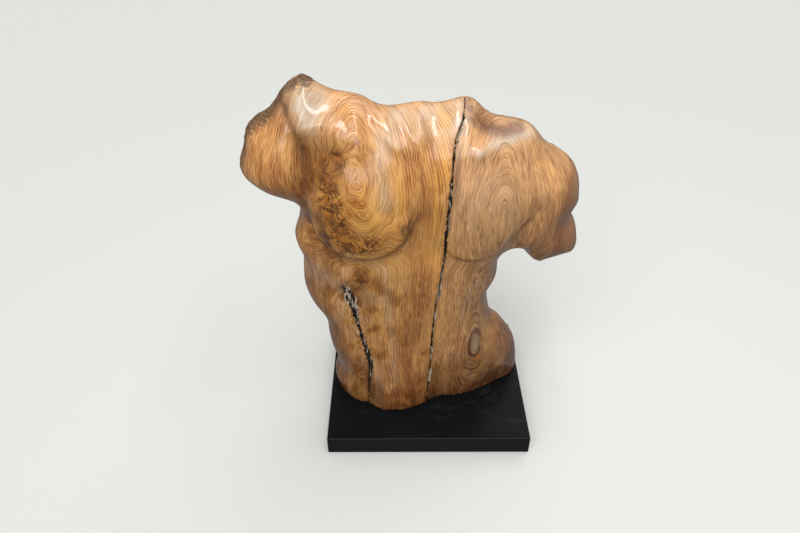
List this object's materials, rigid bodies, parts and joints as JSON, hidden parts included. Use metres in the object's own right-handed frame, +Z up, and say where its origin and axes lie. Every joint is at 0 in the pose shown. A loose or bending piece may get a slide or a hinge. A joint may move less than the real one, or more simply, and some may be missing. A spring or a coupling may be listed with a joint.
{
  "type": "torso sculpture",
  "caption": "Headless male torso carved from a block of reclaimed root wood, cracked and polished, standing on a black rectangular plinth.",
  "frame": {"origin": "centre of the plinth's underside", "axes": "+Z up, -Y towards the viewer (the chest side), +X to the viewer's right"},
  "size_m": [0.5413, 0.3, 0.6352],
  "materials": {
    "root_wood": "oiled and polished reclaimed hardwood",
    "black_board": "satin black lacquer"
  },
  "bodies": {
    "root": {"torso": "root_wood", "plinth": "black_board"}
  },
  "joints": []
}
